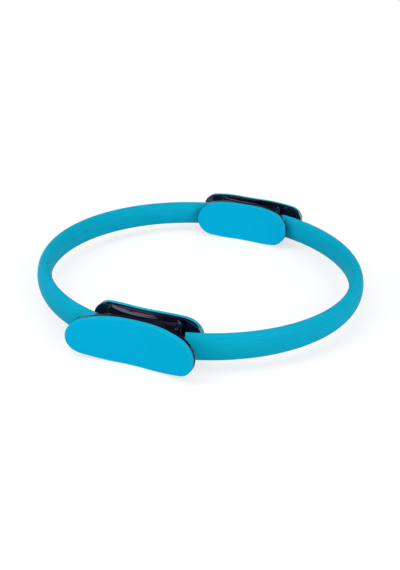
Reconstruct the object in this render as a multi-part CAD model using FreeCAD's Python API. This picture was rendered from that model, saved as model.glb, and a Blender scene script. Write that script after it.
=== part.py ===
import FreeCAD, Part
import math
import os

# ring
inner_diameter = 320.0
sleeve_thick = 15.2
sleeve_tall = 27.5
leaf_thick = 2.2
leaf_tall = 17.0
liner_wall = 0.8
liner_corner = 1.4
radial_gap = 0.3        # clearance between the curved layers of the ring

# handle, measured along the tangent (half lengths) and radially from the ring's centreline
outer_seat = 2.7        # back of the outer flange at its middle, outside the centreline
inner_clear = 3.8       # gap between the sleeves' inside and the back of the inner flange at its middle
outer_hollow = 168.0    # radius of the concave outer face
inner_relief = 21.6     # amount by which the inner face curves more tightly than the ring
outer_half_long = 63.8
inner_half_long = 56.0
flange_half_tall = 23.2
outer_end_drop = 4.4    # amount by which the end radius is less than the half height
inner_end_drop = 1.8
rest_half_long = 13.0   # half length of the flat along the top and bottom of each flange
pad_thick = 5.4
pad_inset = 0.3         # flange rim left showing round a pad
pad_edge = 1.2
flange_thick = 3.4
flange_edge = 0.8
web_half_long = 37.0
web_half_tall = 17.6
web_corner = 4.0
outer_web_fillet = 2.0
inner_web_fillet = 3.4
parting_wide = 1.0      # groove along the web where the two halves of a handle meet
parting_deep = 0.6
neck_thick = 11.6
neck_tall = 22.0
neck_corner = 4.0
sleeve_end_half = 45.5  # where a sleeve stops, along the tangent
sleeve_end_gap = 0.4
leaf_end_half = 11.0    # where the leaves stop, along the tangent
leaf_end_gap = 0.6

# ferrules
ferrule_half_at = 14.5
ferrule_long = 5.0
ferrule_wall = 0.8

# screws
housing_screw_radius = 1.5
housing_screw_long = 13.0
housing_head_radius = 2.8
housing_head_tall = 2.2
housing_screw_at = 26.0
housing_screw_up = 11.8
leaf_screw_radius = 2.0
leaf_screw_long = 12.0
leaf_head_radius = 3.6
leaf_head_tall = 2.4
leaf_screw_at = 26.5
head_sunk = 0.8         # top of the larger heads below the flange face
head_gap = 0.25
shank_gap = 0.06
drive_across = 1.3
drive_deep = 1.1

overrun = 40.0          # length by which cutting tools run past what they cut

ring_radius = inner_diameter / 2 + sleeve_thick / 2
pad_and_flange = pad_thick + flange_thick
outer_face_mid = ring_radius + outer_seat + pad_and_flange
inner_face_mid = inner_diameter / 2 - inner_clear - pad_and_flange
inner_hollow = ring_radius - inner_relief
outer_centre = outer_face_mid + outer_hollow
inner_centre = inner_face_mid - inner_hollow
outer_end_radius = flange_half_tall - outer_end_drop
inner_end_radius = flange_half_tall - inner_end_drop
head_depth = leaf_head_tall + head_sunk
shape_tolerance = radial_gap / 100


def vec(x, y, z):
    return FreeCAD.Vector(x, y, z)


def angle_at(half):
    """Angle between a handle's middle and a point of the ring at this distance along the tangent."""
    return math.degrees(math.asin(half / ring_radius))


def arc_edge(cx, cz, radius, a0, a1):
    at = [vec(cx + radius * math.cos(a), 0, cz + radius * math.sin(a)) for a in (a0, (a0 + a1) / 2, a1)]
    return Part.Arc(*at).toShape()


def line_edge(p, q):
    return Part.LineSegment(vec(p[0], 0, p[1]), vec(q[0], 0, q[1])).toShape()


def oval_face(half_long, half_tall, end_radius, flat):
    """Long oval with bowed edges, round ends and a short flat in the middle of each long edge."""
    reach = half_long - end_radius
    bow = ((reach - flat) ** 2 + half_tall ** 2 - end_radius ** 2) / (2 * (half_tall - end_radius))
    turn = math.atan2(reach - flat, bow - half_tall)
    up = math.pi / 2
    edges = []
    for side in (0, math.pi):
        s = math.cos(side)
        edges.append(line_edge((-flat * s, half_tall * s), (flat * s, half_tall * s)))
        edges.append(arc_edge(flat * s, (half_tall - bow) * s, bow, up + side, up - turn + side))
        edges.append(arc_edge(reach * s, 0, end_radius, up - turn + side, turn - up + side))
        edges.append(arc_edge(flat * s, (bow - half_tall) * s, bow, turn - up + side, -up + side))
    return Part.Face(Part.Wire(Part.__sortEdges__(edges)))


def box_face(cx, thick, tall, corner):
    """Rectangle with rounded corners in the XZ plane."""
    hx = thick / 2
    hz = tall / 2
    ix = hx - corner
    iz = hz - corner
    edges = []
    for sx, sz, a in ((1, 1, 0), (-1, 1, 1), (-1, -1, 2), (1, -1, 3)):
        a0 = a * math.pi / 2
        edges.append(arc_edge(cx + ix * sx, iz * sz, corner, a0, a0 + math.pi / 2))
    edges.append(line_edge((cx - ix, hz), (cx + ix, hz)))
    edges.append(line_edge((cx - ix, -hz), (cx + ix, -hz)))
    edges.append(line_edge((cx - hx, -iz), (cx - hx, iz)))
    edges.append(line_edge((cx + hx, -iz), (cx + hx, iz)))
    return Part.Face(Part.Wire(Part.__sortEdges__(edges)))


def plain_face(x0, x1, tall):
    """Rectangle with sharp corners in the XZ plane."""
    hz = tall / 2
    at = [vec(x0, 0, -hz), vec(x1, 0, -hz), vec(x1, 0, hz), vec(x0, 0, hz), vec(x0, 0, -hz)]
    return Part.Face(Part.makePolygon(at))


def oval_section():
    """Section of a sleeve's outside."""
    curve = Part.Ellipse(vec(0, 0, 0), sleeve_tall / 2, sleeve_thick / 2)
    edge = curve.toShape()
    edge.rotate(vec(0, 0, 0), vec(1, 0, 0), 90)
    edge.rotate(vec(0, 0, 0), vec(0, 1, 0), 90)
    edge.translate(vec(ring_radius, 0, 0))
    return Part.Face(Part.Wire(edge))


def swept(face, start, end):
    """Section turned about the ring's axis between two angles."""
    section = face.copy()
    section.rotate(vec(0, 0, 0), vec(0, 0, 1), start)
    return section.revolve(vec(0, 0, 0), vec(0, 0, 1), end - start)


def half_ring(face, end_half):
    """Section turned through the right half of the ring, as far as the two handles."""
    stop = 90 - angle_at(end_half)
    return swept(face, -stop, stop)


def at_both_ends(face, from_half, to_half):
    """Section turned through a short length of the ring on both sides of the rear handle's middle."""
    near = angle_at(from_half)
    far = angle_at(to_half)
    return swept(face, 90 - far, 90 - near).fuse(swept(face, 90 + near, 90 + far))


def disc(centre, radius):
    tall = 2 * (flange_half_tall + overrun)
    return Part.makeCylinder(radius, tall, vec(0, centre, -tall / 2))


def prism(face, middle):
    """Outline drawn out radially, past both faces of a flange."""
    solid = face.extrude(vec(0, 2 * overrun, 0))
    solid.translate(vec(0, middle - overrun, 0))
    return solid


def curved_plate(centre, hollow, middle, outline, start, thick):
    """Plate of an outline that follows a handle's concave face at a depth below it."""
    shell = disc(centre, hollow + start + thick).cut(disc(centre, hollow + start))
    return prism(outline, middle).common(shell)


def edges_on(shape, centre, radius):
    """Edges whose whole length lies on a cylinder round a vertical axis."""
    found = []
    for edge in shape.Edges:
        a, b = edge.ParameterRange
        at = [edge.valueAt(a + (b - a) * share) for share in (0, 0.5, 1)]
        if all(abs(math.hypot(p.x, p.y - centre) - radius) < shape_tolerance for p in at):
            found.append(edge)
    return found


def pad(centre, hollow, middle, half_long, end_radius):
    half_tall = flange_half_tall - pad_inset
    outline = oval_face(half_long - pad_inset, half_tall, end_radius - pad_inset, rest_half_long)
    solid = curved_plate(centre, hollow, middle, outline, 0, pad_thick)
    return solid.makeFillet(pad_edge, edges_on(solid, centre, hollow))


def flange(centre, hollow, middle, half_long, end_radius):
    outline = oval_face(half_long, flange_half_tall, end_radius, rest_half_long)
    solid = curved_plate(centre, hollow, middle, outline, pad_thick, flange_thick)
    return solid.makeFillet(flange_edge, edges_on(solid, centre, hollow + pad_and_flange))


def core():
    """Web and necks between the flanges, before they are split."""
    outline = box_face(0, 2 * web_half_long, 2 * web_half_tall, web_corner)
    web = prism(outline, ring_radius)
    web = web.cut(disc(outer_centre, outer_hollow + pad_and_flange - flange_thick / 2))
    web = web.cut(disc(inner_centre, inner_hollow + pad_and_flange - flange_thick / 2))
    neck = box_face(ring_radius, neck_thick, neck_tall, neck_corner)
    return web.fuse(at_both_ends(neck, web_half_long - neck_corner, sleeve_end_half - sleeve_end_gap))


def leaf_pocket():
    """Room for the leaf ends and ferrules inside a handle."""
    wide = 2 * (leaf_thick + radial_gap)
    slot = plain_face(ring_radius - wide / 2, ring_radius + wide / 2, leaf_tall + 2 * radial_gap)
    slots = at_both_ends(slot, leaf_end_half - leaf_end_gap, sleeve_end_half + overrun)
    wide += 2 * (ferrule_wall + radial_gap)
    tall = leaf_tall + 2 * radial_gap + 2 * ferrule_wall
    seat = plain_face(ring_radius - wide / 2, ring_radius + wide / 2, tall)
    start = ferrule_half_at - radial_gap
    return slots.fuse(at_both_ends(seat, start, ferrule_half_at + ferrule_long + radial_gap))


def parting_groove():
    """Shallow groove along the top and bottom of the web, over the joint between the two halves."""
    x0 = ring_radius - parting_wide / 2
    x1 = ring_radius + parting_wide / 2
    reach = angle_at(web_half_long)
    band = swept(plain_face(x0, x1, 2 * (web_half_tall + overrun)), 90 - reach, 90 + reach)
    return band.cut(swept(plain_face(x0, x1, 2 * (web_half_tall - parting_deep)), 90 - reach, 90 + reach))


def rod(radius, x, z, y0, y1):
    return Part.makeCylinder(radius, y1 - y0, vec(x, y0, z), vec(0, 1, 0))


def outer_flange_face(x):
    """Radial distance of the flange's face under the outer pad."""
    return outer_centre - math.sqrt((outer_hollow + pad_thick) ** 2 - x ** 2)


def housing_screw_places():
    return [(housing_screw_at * i, housing_screw_up * j) for i in (-1, 1) for j in (-1, 1)]


def leaf_screw_places():
    return [(leaf_screw_at * i, 0) for i in (-1, 1)]


def screw(radius, long, head_radius, head_tall, x, z):
    """Screw with a cylindrical head and a cross recess, driven inwards from the outer flange."""
    seat = outer_flange_face(x) - head_depth
    solid = rod(radius, x, z, seat - long, seat).fuse(rod(head_radius, x, z, seat, seat + head_tall))
    top = seat + head_tall
    arm = head_radius - drive_across / 2
    for wide, tall in ((drive_across, 2 * arm), (2 * arm, drive_across)):
        bar = Part.makeBox(wide, drive_deep + overrun, tall)
        bar.translate(vec(x - wide / 2, top - drive_deep, z - tall / 2))
        solid = solid.cut(bar)
    return solid


def screw_room(radius, long, head_radius, x, z):
    """Hole and counterbore that a screw sits in."""
    seat = outer_flange_face(x) - head_depth
    hole = rod(radius + shank_gap, x, z, seat - long - radial_gap, seat + overrun)
    return hole.fuse(rod(head_radius + head_gap, x, z, seat, seat + overrun))


def all_screw_room():
    rooms = []
    for x, z in housing_screw_places():
        rooms.append(screw_room(housing_screw_radius, housing_screw_long, housing_head_radius, x, z))
    for x, z in leaf_screw_places():
        rooms.append(screw_room(leaf_screw_radius, leaf_screw_long, leaf_head_radius, x, z))
    return Part.makeCompound(rooms)


def web_joint_edges(shape, centre, radius):
    """Edges where the web meets the back of a flange."""
    found = []
    for edge in edges_on(shape, centre, radius):
        box = edge.BoundBox
        if box.ZMax < web_half_tall + shape_tolerance and box.ZMin > -web_half_tall - shape_tolerance:
            if max(abs(box.XMax), abs(box.XMin)) < web_half_long + shape_tolerance:
                found.append(edge)
    return found


def housing(outside):
    """Half of a handle's moulding, on the outside or the inside of the leaves."""
    middle = disc(0, ring_radius)
    if outside:
        plate = flange(outer_centre, outer_hollow, outer_face_mid, outer_half_long, outer_end_radius)
        body = core().cut(middle).fuse(plate)
        seat = (outer_centre, outer_hollow + pad_and_flange)
        web_fillet = outer_web_fillet
    else:
        plate = flange(inner_centre, inner_hollow, inner_face_mid, inner_half_long, inner_end_radius)
        body = core().common(middle).fuse(plate)
        seat = (inner_centre, inner_hollow + pad_and_flange)
        web_fillet = inner_web_fillet
    body = body.removeSplitter()
    body = body.makeFillet(web_fillet, web_joint_edges(body, *seat))
    return body.cut(leaf_pocket()).cut(all_screw_room()).cut(parting_groove())


def ferrule():
    """Steel band round both leaves at the right-hand end in the rear handle."""
    inside = leaf_thick + radial_gap
    tall = leaf_tall + 2 * radial_gap
    wall = ferrule_wall
    band = plain_face(ring_radius - inside - wall, ring_radius + inside + wall, tall + 2 * wall)
    band = band.cut(plain_face(ring_radius - inside, ring_radius + inside, tall))
    near = angle_at(ferrule_half_at)
    far = angle_at(ferrule_half_at + ferrule_long)
    return swept(band.Faces[0], 90 - far, 90 - near)


def leaf(outside):
    start = ring_radius if outside else ring_radius - leaf_thick
    solid = half_ring(plain_face(start, start + leaf_thick, leaf_tall), leaf_end_half)
    for x, z in leaf_screw_places():
        for turn in (0, 180):
            hole = rod(leaf_screw_radius + shank_gap, x, z, 0, ring_radius + overrun)
            hole.rotate(vec(0, 0, 0), vec(0, 0, 1), turn)
            solid = solid.cut(hole)
    return solid


def liner():
    inside = leaf_thick + radial_gap
    outline = box_face(ring_radius, 2 * (inside + liner_wall), leaf_tall + 2 * liner_wall, liner_corner)
    bore = plain_face(ring_radius - inside, ring_radius + inside, leaf_tall)
    return half_ring(outline.cut(bore).Faces[0], sleeve_end_half)


def sleeve():
    wide = 2 * (leaf_thick + liner_wall + 2 * radial_gap)
    bore = plain_face(ring_radius - wide / 2, ring_radius + wide / 2, leaf_tall + 2 * liner_wall)
    return half_ring(oval_section().cut(bore).Faces[0], sleeve_end_half)


def turned(shape, degrees):
    copy = shape.copy()
    copy.rotate(vec(0, 0, 0), vec(0, 0, 1), degrees)
    return copy


def mirrored(shape):
    return shape.mirror(vec(0, 0, 0), vec(1, 0, 0))


def handle_pieces():
    """Pieces of the rear handle."""
    small = (housing_screw_radius, housing_screw_long, housing_head_radius, housing_head_tall)
    large = (leaf_screw_radius, leaf_screw_long, leaf_head_radius, leaf_head_tall)
    housing_screws = [screw(*small, x, z) for x, z in housing_screw_places()]
    leaf_screws = [screw(*large, x, z) for x, z in leaf_screw_places()]
    return {
        "outer_housing": housing(True),
        "inner_housing": housing(False),
        "outer_pad": pad(outer_centre, outer_hollow, outer_face_mid, outer_half_long, outer_end_radius),
        "inner_pad": pad(inner_centre, inner_hollow, inner_face_mid, inner_half_long, inner_end_radius),
        "housing_screws": Part.makeCompound(housing_screws),
        "leaf_screws": Part.makeCompound(leaf_screws),
    }


def all_pieces():
    pieces = {}
    for name, shape in handle_pieces().items():
        pieces["rear_" + name] = shape
        pieces["front_" + name] = turned(shape, 180)
    layers = {"sleeve": sleeve(), "liner": liner(), "outer_leaf": leaf(True), "inner_leaf": leaf(False)}
    for name, shape in layers.items():
        pieces["right_" + name] = shape
        pieces["left_" + name] = turned(shape, 180)
    band = ferrule()
    pieces["right_rear_ferrule"] = band
    pieces["left_rear_ferrule"] = mirrored(band)
    pieces["left_front_ferrule"] = turned(band, 180)
    pieces["right_front_ferrule"] = turned(mirrored(band), 180)
    return pieces


os.makedirs("parts", exist_ok=True)
for name, shape in all_pieces().items():
    shape.exportStep("parts/" + name + ".step")
    print(name, shape.ShapeType, len(shape.Solids), shape.isValid(), round(shape.Volume / 1000, 2))
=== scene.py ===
import math

import bmesh
import bpy
import numpy as np
from mathutils import Matrix, Vector, noise


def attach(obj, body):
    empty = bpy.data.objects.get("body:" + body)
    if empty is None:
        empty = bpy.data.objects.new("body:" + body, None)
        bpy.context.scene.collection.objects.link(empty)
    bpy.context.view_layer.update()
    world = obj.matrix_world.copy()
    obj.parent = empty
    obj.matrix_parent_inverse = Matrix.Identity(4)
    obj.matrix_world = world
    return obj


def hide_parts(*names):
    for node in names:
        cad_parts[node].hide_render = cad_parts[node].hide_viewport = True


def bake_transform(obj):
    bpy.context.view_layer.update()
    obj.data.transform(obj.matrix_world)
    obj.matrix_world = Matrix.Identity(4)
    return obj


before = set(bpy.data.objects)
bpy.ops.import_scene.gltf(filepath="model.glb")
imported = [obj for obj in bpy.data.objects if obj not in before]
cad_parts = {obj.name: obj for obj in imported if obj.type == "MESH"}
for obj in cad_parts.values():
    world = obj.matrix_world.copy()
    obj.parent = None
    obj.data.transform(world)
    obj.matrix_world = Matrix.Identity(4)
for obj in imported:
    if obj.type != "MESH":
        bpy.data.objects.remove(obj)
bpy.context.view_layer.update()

scene = bpy.context.scene
scene.view_settings.view_transform = "Standard"

ring = {"radius": 0.1676, "floor": -0.0232}  # centreline about the origin; metres throughout
handle = {  # the rear handle, at +Y; the front one is the same, turned half round
    "outer": {"mid": 0.1791, "hollow": 0.168, "halfLong": 0.0638, "endRadius": 0.0188, "facing": 1},
    "inner": {"mid": 0.1474, "hollow": 0.146, "halfLong": 0.056, "endRadius": 0.0214, "facing": -1},
    "halfTall": 0.0232,
    "flat": 0.013,  # half length of the straight along the top and bottom
}
ends = {"rear": Matrix.Identity(3), "front": Matrix.Rotation(math.pi, 3, "Z")}


# node helpers

def place(nodes, kind, x, y, **settings):
    node = nodes.new(kind)
    node.location = (x, y)
    for key, value in settings.items():
        setattr(node, key, value)
    return node


def setSockets(node, **values):
    for name, value in values.items():
        node.inputs[name.replace("_", " ")].default_value = value


def newMaterial(name):
    material = bpy.data.materials.new(name)
    material.use_nodes = True
    nodes = material.node_tree.nodes
    return material, nodes, material.node_tree.links, nodes["Principled BSDF"]


def newGroup(name, inputs, outputs):
    group = bpy.data.node_groups.new(name, "ShaderNodeTree")
    for label, kind, value in inputs:
        group.interface.new_socket(label, in_out="INPUT", socket_type=kind).default_value = value
    for label, kind in outputs:
        group.interface.new_socket(label, in_out="OUTPUT", socket_type=kind)
    given = place(group.nodes, "NodeGroupInput", -1300, 0).outputs
    result = place(group.nodes, "NodeGroupOutput", 700, 0).inputs
    return group, group.nodes, group.links, given, result


def mathsFor(nodes, links):
    def maths(operation, x, y, *terms, clamp=False):
        node = place(nodes, "ShaderNodeMath", x, y, operation=operation, use_clamp=clamp)
        for socket, term in zip(node.inputs, terms):
            if isinstance(term, (int, float)):
                socket.default_value = term
            else:
                links.new(term, socket)
        return node.outputs[0]
    return maths


def colorMix(nodes, links, x, y, share, first, second):
    node = place(nodes, "ShaderNodeMix", x, y, data_type="RGBA")
    links.new(share, node.inputs["Factor"])
    sockets = [socket for socket in node.inputs if socket.type == "RGBA"]
    for socket, color in zip(sockets, (first, second)):
        if isinstance(color, tuple):
            socket.default_value = (*color, 1)
        else:
            links.new(color, socket)
    return next(socket for socket in node.outputs if socket.type == "RGBA")


# foam

cellShape = {"smoothness": 0.4, "pits": -0.06, "cutPits": -0.25, "base": 1.03}  # cut cells are deeper
cloudShape = {"Detail": 4.0, "Roughness": 0.55}
streakShape = {"Scale": 1.0, "Detail": 3.0, "Roughness": 0.6}
streakFull = 0.85  # noise level from which a streak of scuffs and painted sheen shows in full


def foamSkinGroup():
    # closed cells, cloudy tint, and pale open cells where the sheet was cut
    group, nodes, links, given, result = newGroup(
        "foamSkin",
        [("Color", "NodeSocketColor", (0, 0.4, 0.7, 1)),
         ("Cut Color", "NodeSocketColor", (0.1, 0.4, 0.55, 1)),
         ("Cut", "NodeSocketFloat", 0), ("Cell Scale", "NodeSocketFloat", 2200),
         ("Cloud Scale", "NodeSocketFloat", 70), ("Cloud Amount", "NodeSocketFloat", 0.06),
         ("Roughness", "NodeSocketFloat", 0.8)],
        [("Color", "NodeSocketColor"), ("Roughness", "NodeSocketFloat"), ("Height", "NodeSocketFloat")])
    maths = mathsFor(nodes, links)
    where = place(nodes, "ShaderNodeTexCoord", -1300, -300).outputs["Object"]
    cells = place(nodes, "ShaderNodeTexVoronoi", -1000, -100, feature="SMOOTH_F1")
    cells.inputs["Smoothness"].default_value = cellShape["smoothness"]
    links.new(where, cells.inputs["Vector"])
    links.new(given["Cell Scale"], cells.inputs["Scale"])
    cloud = place(nodes, "ShaderNodeTexNoise", -1000, -400)
    setSockets(cloud, **cloudShape)
    links.new(where, cloud.inputs["Vector"])
    links.new(given["Cloud Scale"], cloud.inputs["Scale"])
    centred = maths("SUBTRACT", -800, -400, cloud.outputs["Fac"], 0.5)
    cloudy = maths("MULTIPLY", -600, -400, centred, given["Cloud Amount"])
    pitDepth = maths("MULTIPLY_ADD", -800, -200, given["Cut"], cellShape["cutPits"], cellShape["pits"])
    pits = maths("MULTIPLY_ADD", -600, -150, cells.outputs["Distance"], pitDepth, cellShape["base"])
    level = maths("ADD", -400, -250, pits, cloudy)
    body = colorMix(nodes, links, -400, 200, given["Cut"], given["Color"], given["Cut Color"])
    tint = place(nodes, "ShaderNodeVectorMath", -100, 100, operation="SCALE")
    links.new(body, tint.inputs[0])
    links.new(level, tint.inputs["Scale"])
    links.new(tint.outputs[0], result["Color"])
    links.new(maths("ADD", -100, -150, given["Roughness"], cloudy, clamp=True), result["Roughness"])
    links.new(cells.outputs["Distance"], result["Height"])
    return group


def streakGroup():
    # faint streaks that run along a drawn surface, from its own lengthwise and crosswise places; they mark
    # scuffs and painted sheen
    group, nodes, links, given, result = newGroup(
        "scuffAndSheenStreaks",
        [("Along", "NodeSocketFloat", 0), ("Around", "NodeSocketFloat", 0),
         ("Along Scale", "NodeSocketFloat", 30), ("Around Scale", "NodeSocketFloat", 12),
         ("Threshold", "NodeSocketFloat", 0.6)],
        [("Streak", "NodeSocketFloat"), ("Wave", "NodeSocketFloat")])
    maths = mathsFor(nodes, links)
    turn = maths("MULTIPLY", -1100, -200, given["Around"], 2 * math.pi)
    spot = place(nodes, "ShaderNodeCombineXYZ", -700, 0)
    links.new(maths("MULTIPLY", -900, 150, given["Along"], given["Along Scale"]), spot.inputs["X"])
    for operation, axis, y in (("COSINE", "Y", 0), ("SINE", "Z", -150)):
        side = maths(operation, -1000, y - 50, turn)
        links.new(maths("MULTIPLY", -900, y, side, given["Around Scale"]), spot.inputs[axis])
    lines = place(nodes, "ShaderNodeTexNoise", -500, 0)
    setSockets(lines, **streakShape)
    links.new(spot.outputs[0], lines.inputs["Vector"])
    kept = place(nodes, "ShaderNodeMapRange", -250, 0, interpolation_type="SMOOTHSTEP")
    links.new(lines.outputs["Fac"], kept.inputs["Value"])
    links.new(given["Threshold"], kept.inputs["From Min"])
    kept.inputs["From Max"].default_value = streakFull
    links.new(kept.outputs["Result"], result["Streak"])
    links.new(lines.outputs["Fac"], result["Wave"])
    return group


def foamMaterial(name, skin, streaks, look):
    material, nodes, links, shader = newMaterial(name)
    maths = mathsFor(nodes, links)
    group = place(nodes, "ShaderNodeGroup", -600, 0, node_tree=skin)
    group.inputs["Color"].default_value = (*look["color"], 1)
    group.inputs["Cut Color"].default_value = (*look["cutColor"], 1)
    setSockets(group, Cell_Scale=look["cells"], Cloud_Scale=look["clouds"],
               Cloud_Amount=look["cloudy"], Roughness=look["rough"])
    cut = place(nodes, "ShaderNodeAttribute", -900, 0, attribute_name="cutEdge")
    links.new(cut.outputs["Fac"], group.inputs["Cut"])
    color, height = group.outputs["Color"], group.outputs["Height"]
    if streaks:
        along = place(nodes, "ShaderNodeAttribute", -900, -300, attribute_name="along")
        around = place(nodes, "ShaderNodeAttribute", -900, -500, attribute_name="around")
        scuffAndSheen = place(nodes, "ShaderNodeGroup", -600, -350, node_tree=streaks)
        links.new(along.outputs["Fac"], scuffAndSheen.inputs["Along"])
        links.new(around.outputs["Fac"], scuffAndSheen.inputs["Around"])
        setSockets(scuffAndSheen, Along_Scale=look["alongScale"], Around_Scale=look["aroundScale"],
                   Threshold=look["threshold"])
        # the streaks mix in a paler blue: partly scuffs, partly a painted sheen standing in for satin
        # highlights along the sleeve
        share = maths("MULTIPLY", -400, 300, scuffAndSheen.outputs["Streak"], look["scuffAndSheenAmount"])
        color = colorMix(nodes, links, -250, 150, share, color, look["scuffAndSheenColor"])
        height = maths("MULTIPLY_ADD", -400, -300, scuffAndSheen.outputs["Wave"], look["waviness"], height)
    links.new(color, shader.inputs["Base Color"])
    links.new(group.outputs["Roughness"], shader.inputs["Roughness"])
    bump = place(nodes, "ShaderNodeBump", -200, -250)
    setSockets(bump, Strength=look["bump"], Distance=look["depth"])
    links.new(height, bump.inputs["Height"])
    links.new(bump.outputs["Normal"], shader.inputs["Normal"])
    shader.inputs["Specular IOR Level"].default_value = look["gloss"]
    return material


padLook = {"color": (0.0006, 0.43, 0.69), "cutColor": (0.008, 0.45, 0.685), "cells": 1900, "clouds": 45,
           "cloudy": 0.07, "rough": 0.85, "bump": 0.22, "depth": 0.0002, "gloss": 0.02}
# the sleeve's paler streak colour and its amount are partly scuffs, partly a painted sheen
sleeveLook = {"color": (0.0006, 0.37, 0.552), "cutColor": (0.012, 0.36, 0.515), "cells": 2600, "clouds": 60,
              "cloudy": 0.07, "rough": 0.6, "bump": 0.16, "depth": 0.00016, "gloss": 0.04,
              "alongScale": 45, "aroundScale": 9, "threshold": 0.47, "scuffAndSheenAmount": 0.75,
              "scuffAndSheenColor": (0.008, 0.48, 0.7), "waviness": 0.6}
foamSkin, scuffAndSheenStreaks = foamSkinGroup(), streakGroup()
padFoam = foamMaterial("padFoam", foamSkin, None, padLook)
sleeveFoam = foamMaterial("sleeveFoam", foamSkin, scuffAndSheenStreaks, sleeveLook)


# plastic and metal

def mouldingMaterial(look):
    # glossy black moulding, with a faint waviness and smudges in its shine
    material, nodes, links, shader = newMaterial("blackMoulding")
    where = place(nodes, "ShaderNodeTexCoord", -1000, 0).outputs["Object"]
    smudge = place(nodes, "ShaderNodeTexNoise", -750, 0)
    setSockets(smudge, **look["smudges"])
    links.new(where, smudge.inputs["Vector"])
    rough = place(nodes, "ShaderNodeMapRange", -500, 0)
    setSockets(rough, From_Min=look["spread"][0], From_Max=look["spread"][1],
               To_Min=look["rough"][0], To_Max=look["rough"][1])
    links.new(smudge.outputs["Fac"], rough.inputs["Value"])
    links.new(rough.outputs["Result"], shader.inputs["Roughness"])
    tone = colorMix(nodes, links, -500, 300, smudge.outputs["Fac"], look["dark"], look["pale"])
    links.new(tone, shader.inputs["Base Color"])
    wave = place(nodes, "ShaderNodeTexNoise", -750, -300)
    setSockets(wave, **look["waves"])
    links.new(where, wave.inputs["Vector"])
    bump = place(nodes, "ShaderNodeBump", -250, -300)
    setSockets(bump, Strength=look["bump"], Distance=look["depth"])
    links.new(wave.outputs["Fac"], bump.inputs["Height"])
    links.new(bump.outputs["Normal"], shader.inputs["Normal"])
    shader.inputs["Specular IOR Level"].default_value = look["gloss"]
    shader.inputs["Specular Tint"].default_value = (*look["shine"], 1)
    return material


mouldingLook = {"dark": (0.0022, 0.002, 0.008), "pale": (0.004, 0.0036, 0.012), "rough": (0.05, 0.09),
                "smudges": {"Scale": 70, "Detail": 5.0, "Roughness": 0.6}, "spread": (0.3, 0.7),
                "waves": {"Scale": 240, "Detail": 2.0}, "bump": 0.06, "depth": 0.0004, "gloss": 0.5,
                "shine": (0.76, 0.75, 1.0)}
blackMoulding = mouldingMaterial(mouldingLook)


grainShape = {"detail": 3.0, "base": 0.85}


def grainGroup():
    # fine lines drawn out along one axis
    group, nodes, links, given, result = newGroup(
        "drawnGrain",
        [("Color", "NodeSocketColor", (0.5, 0.5, 0.5, 1)), ("Stretch", "NodeSocketVector", (1, 1, 1)),
         ("Scale", "NodeSocketFloat", 900), ("Contrast", "NodeSocketFloat", 0.3)],
        [("Color", "NodeSocketColor"), ("Height", "NodeSocketFloat")])
    maths = mathsFor(nodes, links)
    where = place(nodes, "ShaderNodeTexCoord", -1300, -300)
    drawn = place(nodes, "ShaderNodeVectorMath", -1000, 0, operation="MULTIPLY")
    links.new(where.outputs["Object"], drawn.inputs[0])
    links.new(given["Stretch"], drawn.inputs[1])
    lines = place(nodes, "ShaderNodeTexNoise", -800, 0)
    setSockets(lines, Detail=grainShape["detail"])
    links.new(drawn.outputs[0], lines.inputs["Vector"])
    links.new(given["Scale"], lines.inputs["Scale"])
    tint = place(nodes, "ShaderNodeVectorMath", -200, 100, operation="SCALE")
    links.new(given["Color"], tint.inputs[0])
    level = maths("MULTIPLY_ADD", -450, 0, lines.outputs["Fac"], given["Contrast"], grainShape["base"])
    links.new(level, tint.inputs["Scale"])
    links.new(tint.outputs[0], result["Color"])
    links.new(lines.outputs["Fac"], result["Height"])
    return group


def grainedMaterial(name, grain, look):
    material, nodes, links, shader = newMaterial(name)
    group = place(nodes, "ShaderNodeGroup", -500, 0, node_tree=grain)
    group.inputs["Color"].default_value = (*look["color"], 1)
    setSockets(group, Stretch=look["stretch"], Scale=look["scale"], Contrast=look["contrast"])
    links.new(group.outputs["Color"], shader.inputs["Base Color"])
    bump = place(nodes, "ShaderNodeBump", -250, -250)
    setSockets(bump, Strength=look["bump"], Distance=look["depth"])
    links.new(group.outputs["Height"], bump.inputs["Height"])
    links.new(bump.outputs["Normal"], shader.inputs["Normal"])
    setSockets(shader, Metallic=look["metal"], Roughness=look["rough"])
    return material


fibreglassLook = {"color": (0.55, 0.52, 0.36), "stretch": (1, 1, 6), "scale": 500, "contrast": 0.3,
                  "bump": 0.2, "depth": 0.0001, "metal": 0, "rough": 0.4}
linerLook = {"color": (0.7, 0.7, 0.68), "stretch": (1, 1, 1), "scale": 300, "contrast": 0.15,
             "bump": 0.1, "depth": 0.0001, "metal": 0, "rough": 0.55}
steelLook = {"color": (0.6, 0.6, 0.61), "stretch": (1, 8, 1), "scale": 900, "contrast": 0.3,
             "bump": 0.15, "depth": 0.0001, "metal": 1, "rough": 0.35}
drawnGrain = grainGroup()
fibreglass = grainedMaterial("fibreglass", drawnGrain, fibreglassLook)
linerPlastic = grainedMaterial("linerPlastic", drawnGrain, linerLook)
zincSteel = grainedMaterial("zincSteel", drawnGrain, steelLook)
print("materials made")


# sleeves, liners and leaves, swept along the ring

sweepShape = {"cornerPoints": 4, "sharp": 35}  # degrees from which an edge is sharp
sweepSockets = {
    "Float": ["Radius", "Start", "Sweep", "Crowding", "Thick", "Tall", "Corner",
              "Bore Thick", "Bore Tall", "End Round", "End Draw"],
    "Int": ["Steps", "Points"],
    "Bool": ["Oval", "Bored"],
    "Material": ["Material"],
}


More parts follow.
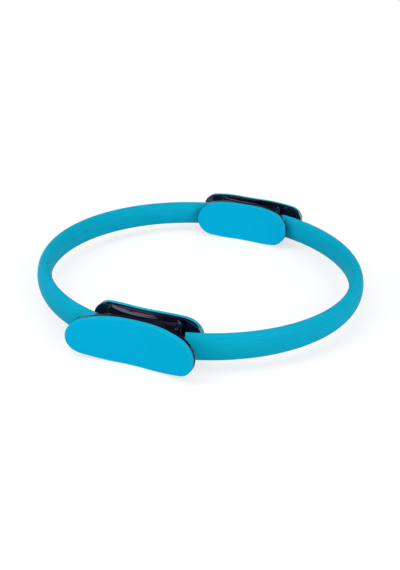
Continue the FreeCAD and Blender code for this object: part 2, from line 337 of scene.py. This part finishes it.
def sweepTree():
    tree = bpy.data.node_groups.new("ringSweep", "GeometryNodeTree")
    face = tree.interface
    face.new_socket("Geometry", in_out="INPUT", socket_type="NodeSocketGeometry")
    for kind, names in sweepSockets.items():
        for name in names:
            face.new_socket(name, in_out="INPUT", socket_type="NodeSocket" + kind)
    face.new_socket("Geometry", in_out="OUTPUT", socket_type="NodeSocketGeometry")
    nodes, links = tree.nodes, tree.links
    maths = mathsFor(nodes, links)
    given = place(nodes, "NodeGroupInput", -1600, 0).outputs
    result = place(nodes, "NodeGroupOutput", 1800, 0)

    def through(kind, x, y, geometry, **settings):
        node = place(nodes, kind, x, y, **settings)
        links.new(geometry, node.inputs[0])
        return node

    def stored(geometry, name, value, x, y):
        node = through("GeometryNodeStoreNamedAttribute", x, y, geometry,
                       data_type="FLOAT", domain="POINT")
        node.inputs["Name"].default_value = name
        links.new(value, node.inputs["Value"])
        return node.outputs[0]

    # path: points crowd together towards the handle
    line = place(nodes, "GeometryNodeMeshLine", -1300, 300)
    links.new(given["Steps"], line.inputs["Count"])
    index = place(nodes, "GeometryNodeInputIndex", -1500, -300).outputs[0]
    share = maths("DIVIDE", -1150, -350, index, maths("SUBTRACT", -1300, -450, given["Steps"], 1.0))
    crowded = maths("POWER", -1000, -350, share, given["Crowding"])
    angle = maths("MULTIPLY_ADD", -850, -350, crowded, given["Sweep"], given["Start"])
    spot = place(nodes, "ShaderNodeCombineXYZ", -500, -300)
    for operation, axis, y in (("COSINE", "X", -250), ("SINE", "Y", -420)):
        side = maths(operation, -700, y, angle)
        links.new(maths("MULTIPLY", -600, y, side, given["Radius"]), spot.inputs[axis])
    moved = through("GeometryNodeSetPosition", -300, 300, line.outputs["Mesh"])
    links.new(spot.outputs[0], moved.inputs["Position"])
    path = through("GeometryNodeMeshToCurve", -100, 300, moved.outputs["Geometry"])
    upright = through("GeometryNodeSetCurveNormal", 60, 300, path.outputs["Curve"], mode="Z_UP")
    along = place(nodes, "GeometryNodeSplineParameter", -500, -700).outputs["Length"]
    marked = stored(upright.outputs["Curve"], "along", along, 220, 300)
    # the cut end is drawn in along a quarter circle
    inside = maths("DIVIDE", -300, -700, along, given["End Round"])
    near = maths("SUBTRACT", -150, -700, 1.0, inside, clamp=True)
    squared = maths("MULTIPLY", 0, -700, near, near)
    arc = maths("SQRT", 240, -700, maths("SUBTRACT", 120, -700, 1.0, squared))
    drawn = maths("MULTIPLY", 480, -700, maths("SUBTRACT", 360, -700, 1.0, arc), given["End Draw"])
    sized = through("GeometryNodeSetCurveRadius", 400, 300, marked)
    links.new(maths("SUBTRACT", 600, -700, 1.0, drawn), sized.inputs["Radius"])

    # section: an oval or a block with eased corners
    circle = place(nodes, "GeometryNodeCurvePrimitiveCircle", -300, 900)
    circle.inputs["Radius"].default_value = 0.5  # one across, before it is spread
    links.new(given["Points"], circle.inputs["Resolution"])
    spread = place(nodes, "ShaderNodeCombineXYZ", -300, 1100)
    links.new(given["Thick"], spread.inputs["X"])
    links.new(given["Tall"], spread.inputs["Y"])
    spread.inputs["Z"].default_value = 1.0
    oval = through("GeometryNodeTransform", -100, 900, circle.outputs["Curve"])
    links.new(spread.outputs[0], oval.inputs["Scale"])
    block = place(nodes, "GeometryNodeCurvePrimitiveQuadrilateral", -300, 1300)
    links.new(given["Thick"], block.inputs["Width"])
    links.new(given["Tall"], block.inputs["Height"])
    eased = through("GeometryNodeFilletCurve", -100, 1300, block.outputs["Curve"], mode="POLY")
    links.new(given["Corner"], eased.inputs["Radius"])
    eased.inputs["Count"].default_value = sweepShape["cornerPoints"]
    shape = place(nodes, "GeometryNodeSwitch", 100, 1000, input_type="GEOMETRY")
    links.new(given["Oval"], shape.inputs["Switch"])
    links.new(eased.outputs["Curve"], shape.inputs["False"])
    links.new(oval.outputs["Geometry"], shape.inputs["True"])
    around = place(nodes, "GeometryNodeSplineParameter", 100, 1250).outputs["Factor"]
    section = stored(shape.outputs["Output"], "around", around, 280, 1000)
    skin = through("GeometryNodeCurveToMesh", 600, 500, sized.outputs["Curve"])
    links.new(section, skin.inputs["Profile Curve"])
    skin.inputs["Fill Caps"].default_value = True

    # bore
    hollow = place(nodes, "GeometryNodeCurvePrimitiveQuadrilateral", 280, 1500)
    links.new(given["Bore Thick"], hollow.inputs["Width"])
    links.new(given["Bore Tall"], hollow.inputs["Height"])
    core = through("GeometryNodeCurveToMesh", 600, 900, upright.outputs["Curve"])
    links.new(hollow.outputs["Curve"], core.inputs["Profile Curve"])
    core.inputs["Fill Caps"].default_value = True
    bored = through("GeometryNodeMeshBoolean", 850, 700, skin.outputs["Mesh"],
                    operation="DIFFERENCE", solver="EXACT")
    links.new(core.outputs["Mesh"], bored.inputs["Mesh 2"])
    pick = place(nodes, "GeometryNodeSwitch", 1050, 400, input_type="GEOMETRY")
    links.new(given["Bored"], pick.inputs["Switch"])
    links.new(skin.outputs["Mesh"], pick.inputs["False"])
    links.new(bored.outputs["Mesh"], pick.inputs["True"])
    real = through("GeometryNodeRealizeInstances", 1250, 200, pick.outputs["Output"])
    coloured = through("GeometryNodeSetMaterial", 1500, 100, real.outputs["Geometry"])
    links.new(given["Material"], coloured.inputs["Material"])
    links.new(coloured.outputs["Geometry"], result.inputs["Geometry"])
    return tree


mergeWithin = 1e-7  # metres


def finishMesh(name, mesh, sharpAngle):
    work = bmesh.new()
    work.from_mesh(mesh)
    bmesh.ops.remove_doubles(work, verts=work.verts, dist=mergeWithin)
    bmesh.ops.recalc_face_normals(work, faces=work.faces)
    if work.calc_volume(signed=True) < 0:
        bmesh.ops.reverse_faces(work, faces=work.faces)
    work.to_mesh(mesh)
    work.free()
    mesh.polygons.foreach_set("use_smooth", [True] * len(mesh.polygons))
    mesh.set_sharp_from_angle(angle=math.radians(sharpAngle))
    piece = bpy.data.objects.new(name, mesh)
    scene.collection.objects.link(piece)
    return piece


def sweptPiece(name, tree, sizes):
    holder = bpy.data.objects.new(name + "Path", bpy.data.meshes.new(name + "Path"))
    scene.collection.objects.link(holder)
    modifier = holder.modifiers.new("sweep", "NODES")
    modifier.node_group = tree
    sockets = {item.name: item.identifier for item in tree.interface.items_tree
               if item.in_out == "INPUT"}
    for key, value in sizes.items():
        modifier[sockets[key]] = value
    evaluated = holder.evaluated_get(bpy.context.evaluated_depsgraph_get())
    mesh = bpy.data.meshes.new_from_object(evaluated)
    mesh.name = name
    bpy.data.objects.remove(holder)
    return finishMesh(name, mesh, sweepShape["sharp"])


quarters = {  # handle's angle, way round from there, and the bodies at the two ends
    "LeftFront": (270, -1, "front_handle", "left_side"),
    "LeftRear": (90, 1, "rear_handle", "left_side"),
    "RightFront": (270, 1, "front_handle", "right_side"),
    "RightRear": (90, -1, "right_rear_end", "right_side"),
}
plainStrip = {"Oval": False, "Points": 8, "Steps": 48, "Crowding": 1.0,
              "End Round": 0.001, "End Draw": 0.0}
leafSizes = {**plainStrip, "Thick": 0.0022, "Tall": 0.017, "Corner": 0.0003, "Bored": False,
             "Bore Thick": 0.001, "Bore Tall": 0.001, "Material": fibreglass}
layers = {  # from the outside in; end is along the tangent from a handle's middle
    "sleeve": {"slot": "sleeve_foam", "end": 0.0455, "offset": 0.0, "sizes": {
        "Oval": True, "Points": 72, "Steps": 110, "Crowding": 1.35, "Thick": 0.0152, "Tall": 0.0275,
        "Corner": 0.0, "Bored": True, "Bore Thick": 0.0072, "Bore Tall": 0.0186,
        "End Round": 0.0011, "End Draw": 0.075, "Material": sleeveFoam}},
    "liner": {"slot": "liner_plastic", "end": 0.0455, "offset": 0.0, "sizes": {
        **plainStrip, "Thick": 0.0066, "Tall": 0.0186, "Corner": 0.0014, "Bored": True,
        "Bore Thick": 0.005, "Bore Tall": 0.017, "Material": linerPlastic}},
    "outer_leaf": {"slot": "fibreglass", "end": 0.011, "offset": 0.0011, "sizes": leafSizes},
    "inner_leaf": {"slot": "fibreglass", "end": 0.011, "offset": -0.0011, "sizes": leafSizes},
}


def ringAngle(halfLong):
    return math.degrees(math.asin(halfLong / ring["radius"]))


ringSweep = sweepTree()
for layer, look in layers.items():
    gap = ringAngle(look["end"])
    for quarter, (handleAt, way, handleBody, sideBody) in quarters.items():
        run = {"Radius": ring["radius"] + look["offset"], "Start": math.radians(handleAt + way * gap),
               "Sweep": math.radians(way * (90 - gap))}
        piece = sweptPiece(layer.replace("_l", "L") + quarter, ringSweep, {**look["sizes"], **run})
        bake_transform(piece)
        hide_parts(("left_" if quarter.startswith("Left") else "right_") + layer)
print("ring swept")


# pads

padShape = {"points": 192, "rings": 16, "thick": 0.0054, "inset": 0.0003, "edge": 0.0012, "edgeSteps": 7,
            "backEdge": 0.0003, "backSteps": 4, "crown": 0.0002, "ripple": 0.00005, "rippleScale": 60,
            "sharp": 60}
ovalSteps = {"flat": 40, "bow": 200, "end": 200}


def ovalPoints(halfLong, halfTall, endRadius, flat, count):
    # a quarter of straight, bow and round end, mirrored twice and evenly spaced
    reach = halfLong - endRadius
    bow = ((reach - flat) ** 2 + halfTall ** 2 - endRadius ** 2) / (2 * (halfTall - endRadius))
    turn = math.atan2(reach - flat, bow - halfTall)
    top = math.pi / 2
    quarter = [(u, halfTall) for u in np.linspace(0, flat, ovalSteps["flat"], endpoint=False)]
    quarter += [(flat + bow * math.cos(a), halfTall - bow + bow * math.sin(a))
                for a in np.linspace(top, top - turn, ovalSteps["bow"], endpoint=False)]
    quarter += [(reach + endRadius * math.cos(a), endRadius * math.sin(a))
                for a in np.linspace(top - turn, 0, ovalSteps["end"])]
    quarter = np.array(quarter)
    back = quarter[-2::-1]
    whole = np.vstack([quarter, back * [1, -1], quarter[1:] * [-1, -1], back * [-1, 1]])
    length = np.concatenate([[0], np.cumsum(np.linalg.norm(np.diff(whole, axis=0), axis=1))])
    at = np.linspace(0, length[-1], count, endpoint=False)
    return np.stack([np.interp(at, length, whole[:, i]) for i in (0, 1)], 1)


def bridge(work, rows):
    for first, second in zip(rows, rows[1:]):
        for i in range(len(first)):
            j = (i + 1) % len(first)
            work.faces.new((first[i], first[j], second[j], second[i]))


def meshFrom(work, name, material):
    mesh = bpy.data.meshes.new(name)
    work.to_mesh(mesh)
    work.free()
    mesh.materials.append(material)
    return mesh


def padPiece(name, side, spin, shape):
    inset, thick, edge, back = shape["inset"], shape["thick"], shape["edge"], shape["backEdge"]
    rim = ovalPoints(side["halfLong"] - inset, handle["halfTall"] - inset, side["endRadius"] - inset,
                     handle["flat"], shape["points"])
    out = np.roll(rim, -1, 0) - np.roll(rim, 1, 0)
    out = np.stack([-out[:, 1], out[:, 0]], 1) / np.linalg.norm(out, axis=1)[:, None]
    out *= math.copysign(1, (out * rim).sum())
    centre = side["mid"] + side["facing"] * side["hollow"]
    seed = side["mid"] * 100 + spin[1][1] * 7  # ripples of its own for each pad
    loops = []  # outline, depth below the face, share of the way to the rim, whether cut
    for k in range(1, shape["rings"]):
        loops.append(((rim - out * edge) * (k / shape["rings"]), 0.0, k / shape["rings"], 0.0))
    for a in np.linspace(0, math.pi / 2, shape["edgeSteps"]):
        outline = rim - out * edge * (1 - math.sin(a))
        loops.append((outline, edge * (1 - math.cos(a)), 1.0, math.sin(a) ** 2))
    for a in np.linspace(0, math.pi / 2, shape["backSteps"]):
        loops.append((rim - out * back * (1 - math.cos(a)), thick - back * (1 - math.sin(a)), 1.0, 1.0))
    for k in range(shape["rings"] // 2 - 1, 0, -1):
        loops.append(((rim - out * back) * (2 * k / shape["rings"]), thick, 1.0, 0.0))
    work = bmesh.new()
    cutEdge = work.verts.layers.float.new("cutEdge")

    def point(u, v, depth, share, cut):
        spot = Vector((u * shape["rippleScale"], v * shape["rippleScale"], seed))
        wander = noise.noise(spot) * shape["ripple"]
        if depth < thick / 2:
            depth += shape["crown"] * share ** 4 - wander * (1 - share ** 6)
        y = centre - side["facing"] * math.sqrt((side["hollow"] + depth) ** 2 - u * u)
        vert = work.verts.new(spin @ Vector((u, y, v)))
        vert[cutEdge] = cut
        return vert

    rows = [[point(u, v, depth, share, cut) for u, v in outline] for outline, depth, share, cut in loops]
    bridge(work, rows)
    for row, depth, share in ((rows[0], 0.0, 0.0), (rows[-1], thick, 1.0)):
        middle = point(0, 0, depth, share, 0.0)
        for i in range(len(row)):
            work.faces.new((row[i], row[(i + 1) % len(row)], middle))
    return finishMesh(name, meshFrom(work, name, padFoam), shape["sharp"])


for end, spin in ends.items():
    for where in ("outer", "inner"):
        piece = padPiece(end + where.capitalize() + "Pad", handle[where], spin, padShape)
        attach(piece, end + "_handle")
        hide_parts(end + "_" + where + "_pad")
print("pads made")


# mouldings, screws and ferrules

flareShape = {"radius": 0.0065, "endRadius": 0.0035, "taper": 0.001, "halfLong": 0.0348, "webTall": 0.0176,
              "behindPad": 0.0088, "lip": 0.00085, "sunk": 0.0006, "stations": 61, "steps": 14,
              "rimPoints": 800, "sharp": 40}
housingSharp = 30  # degrees


def flarePiece(name, spin, shape):
    # the wide hollow curve from the top and the foot of the web up to the rim of the inner flange
    side = handle["inner"]
    centre, face = side["mid"] - side["hollow"], side["hollow"] + shape["behindPad"]
    rim = ovalPoints(side["halfLong"], handle["halfTall"], side["endRadius"], handle["flat"],
                     shape["rimPoints"])
    rim = rim[rim[:, 1] > 0]
    rim = rim[np.argsort(rim[:, 0])]
    work = bmesh.new()
    for up in (1, -1):
        loops = []
        for u in np.linspace(-shape["halfLong"], shape["halfLong"], shape["stations"]):
            ease = math.sin(min(1.0, (shape["halfLong"] - abs(u)) / shape["taper"]) * math.pi / 2)
            radius = shape["endRadius"] + (shape["radius"] - shape["endRadius"]) * ease
            room = np.interp(u, rim[:, 0], rim[:, 1]) - shape["lip"] - shape["webTall"]
            rise = min(radius, room)
            lean = math.asin(1 - rise / radius)  # of the curve where it meets the flange
            section = [(-shape["sunk"], -shape["sunk"])]
            section += [(radius * (math.cos(lean) - math.cos(a)), radius * (1 - math.sin(a)))
                        for a in np.linspace(lean, math.pi / 2, shape["steps"])]
            turn = math.asin(u / face)
            loop = []
            for d, h in section:
                x, y = (face + d) * math.sin(turn), centre + (face + d) * math.cos(turn)
                loop.append(work.verts.new(spin @ Vector((x, y, up * (shape["webTall"] + h)))))
            loops.append(loop)
        bridge(work, loops)
        work.faces.new(loops[0])
        work.faces.new(loops[-1])
    return finishMesh(name, meshFrom(work, name, blackMoulding), shape["sharp"])


for end, spin in ends.items():
    piece = flarePiece(end + "WebFlares", spin, flareShape)
    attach(piece, end + "_handle")
    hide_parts(end + "_inner_housing")
for end in ends:
    for where in ("outer", "inner"):
        node = end + "_" + where + "_housing"
        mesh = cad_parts[node].data.copy()
        mesh.materials.clear()
        mesh.materials.append(blackMoulding)
        piece = finishMesh(end + where.capitalize() + "Housing", mesh, housingSharp)
        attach(piece, end + "_handle")
        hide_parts(node)
for node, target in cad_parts.items():
    if node.endswith(("_screws", "_ferrule")):
        target.data.materials.clear()
        target.data.materials.append(zincSteel)
print("handles dressed")


# floor, light and camera

def seenDirectly(nodes, links, x, y):
    # camera, glossy and transmission rays all see the white surroundings
    path = place(nodes, "ShaderNodeLightPath", x - 400, y)
    maths = mathsFor(nodes, links)
    some = maths("ADD", x - 200, y, path.outputs["Is Camera Ray"], path.outputs["Is Glossy Ray"],
                 clamp=True)
    return maths("ADD", x, y, some, path.outputs["Is Transmission Ray"], clamp=True)


def floorMaterial(look):
    material, nodes, links, shader = newMaterial("paleFloor")
    nodes.remove(shader)

    def diffuse(level, y):
        node = place(nodes, "ShaderNodeBsdfDiffuse", -500, y)
        node.inputs["Color"].default_value = (level, level, level, 1)
        return node.outputs[0]

    def joined(kind, x, y, *shaders, share=None):
        node = place(nodes, kind, x, y)
        sockets = [s for s in node.inputs if s.type == "SHADER"]
        for socket, part in zip(sockets, shaders):
            links.new(part, socket)
        if share:
            links.new(share, node.inputs[0])
        return node.outputs[0]

    glow = place(nodes, "ShaderNodeEmission", -500, -150)
    glow.inputs["Strength"].default_value = look["glow"]
    shadowed = joined("ShaderNodeAddShader", -250, -50, diffuse(look["shadow"], 0), glow.outputs[0])
    where = place(nodes, "ShaderNodeTexCoord", -900, -400)
    far = place(nodes, "ShaderNodeVectorMath", -700, -400, operation="LENGTH")
    links.new(where.outputs["Object"], far.inputs[0])
    fade = place(nodes, "ShaderNodeMapRange", -500, -400, interpolation_type="SMOOTHSTEP")
    setSockets(fade, From_Min=look["fade"][0], From_Max=look["fade"][1])
    links.new(far.outputs["Value"], fade.inputs["Value"])
    blank = place(nodes, "ShaderNodeEmission", -250, -300)  # plain white away from the object
    pale = joined("ShaderNodeMixShader", 0, -100, shadowed, blank.outputs[0],
                  share=fade.outputs["Result"])
    seen = seenDirectly(nodes, links, -100, 300)
    mixed = joined("ShaderNodeMixShader", 200, 100, diffuse(look["bounce"], -600), pale, share=seen)
    links.new(mixed, nodes["Material Output"].inputs["Surface"])
    return material


def softWorld(look):
    # a white backdrop that reflections see too, under a dim ceiling
    world = bpy.data.worlds.new("paleStudio")
    world.use_nodes = True
    scene.world = world
    nodes, links = world.node_tree.nodes, world.node_tree.links
    maths = mathsFor(nodes, links)
    way = place(nodes, "ShaderNodeSeparateXYZ", -900, 300)
    links.new(place(nodes, "ShaderNodeTexCoord", -1100, 300).outputs["Generated"], way.inputs[0])
    ceiling = place(nodes, "ShaderNodeMapRange", -700, 300, interpolation_type="SMOOTHSTEP")
    setSockets(ceiling, From_Min=look["backdrop"][0], From_Max=look["backdrop"][1],
               To_Min=1.0, To_Max=look["ceiling"])
    links.new(way.outputs["Z"], ceiling.inputs["Value"])
    path = place(nodes, "ShaderNodeLightPath", -900, -200)
    mirrored = maths("ADD", -500, -100, path.outputs["Is Glossy Ray"],
                     path.outputs["Is Transmission Ray"], clamp=True)
    level = place(nodes, "ShaderNodeMix", -300, 100)
    links.new(mirrored, level.inputs["Factor"])
    level.inputs["A"].default_value = look["ambient"]
    links.new(ceiling.outputs["Result"], level.inputs["B"])
    back = nodes["Background"]
    back.inputs["Color"].default_value = (1, 1, 1, 1)
    strength = maths("MAXIMUM", -100, 0, level.outputs["Result"], path.outputs["Is Camera Ray"])
    links.new(strength, back.inputs["Strength"])


stageLook = {
    "shadow": 0.35, "glow": 0.68, "bounce": 0.8, "halfSize": 30.0, "fade": (0.3, 0.8), "ambient": 0.45,
    "backdrop": (0.1, 0.3),  # heights on a unit sphere between which the backdrop ends
    "ceiling": 0.03,
}
far = stageLook["halfSize"]
corners = [(x * far, y * far, ring["floor"]) for x, y in ((-1, -1), (1, -1), (1, 1), (-1, 1))]
floorMesh = bpy.data.meshes.new("floor")
floorMesh.from_pydata(corners, [], [(0, 1, 2, 3)])
floorMesh.materials.append(floorMaterial(stageLook))
floor = bpy.data.objects.new("floor", floorMesh)
scene.collection.objects.link(floor)
softWorld(stageLook)

lamps = {  # place, width and height, watts, whether it lights matt surfaces, whether gloss mirrors it
    "key": ((-0.884, -0.916, 1.036), (0.65, 1.47), 9.8, True, True),
    "crown": ((-0.282, -0.292, 1.714), (0.75, 0.73), 4.5, True, False),
    "wing": ((-0.5, -1.31, 0.88), (0.4, 0.6), 2.4, False, True),
    "fill": ((1.51, -0.855, 0.9), (1.2, 1.2), 15.5, True, True),
    "top": ((0.1, 0.6, 1.7), (1.4, 1.4), 2.5, True, True),
}
for name, (at, (width, height), watts, lit, mirrored) in lamps.items():  # all aimed at the ring's middle
    light = bpy.data.lights.new(name, "AREA")
    light.shape = "RECTANGLE"
    light.size, light.size_y = width, height
    light.energy = watts
    lamp = bpy.data.objects.new(name, light)
    lamp.location = at
    lamp.visible_diffuse, lamp.visible_glossy = lit, mirrored
    lamp.rotation_euler = (-Vector(at)).to_track_quat("-Z", "Y").to_euler()
    scene.collection.objects.link(lamp)

shot = {
    "azimuth": 19.7, "elevation": 25.096, "distance": 0.9749, "roll": 2.358,
    "focal": 895.7, "centre": (200.86, 269.19), "frame": (400, 570),  # in pixels
    "sensor": 36.0, "nearest": 0.01,
}
camera = bpy.data.objects.new("camera", bpy.data.cameras.new("camera"))
lens = camera.data
lens.sensor_fit = "VERTICAL"
lens.sensor_height = shot["sensor"]
lens.lens = shot["focal"] / shot["frame"][1] * lens.sensor_height
lens.shift_x = (shot["frame"][0] / 2 - shot["centre"][0]) / shot["frame"][1]
lens.shift_y = (shot["centre"][1] - shot["frame"][1] / 2) / shot["frame"][1]
lens.clip_start = shot["nearest"]
az, el = math.radians(shot["azimuth"]), math.radians(shot["elevation"])
towards = Vector((math.sin(az) * math.cos(el), -math.cos(az) * math.cos(el), math.sin(el)))
camera.location = towards * shot["distance"]
aimed = (-towards).to_track_quat("-Z", "Y").to_matrix().to_4x4()
camera.rotation_euler = (aimed @ Matrix.Rotation(math.radians(shot["roll"]), 4, "Z")).to_euler()
scene.collection.objects.link(camera)
scene.camera = camera
print("stage lit")
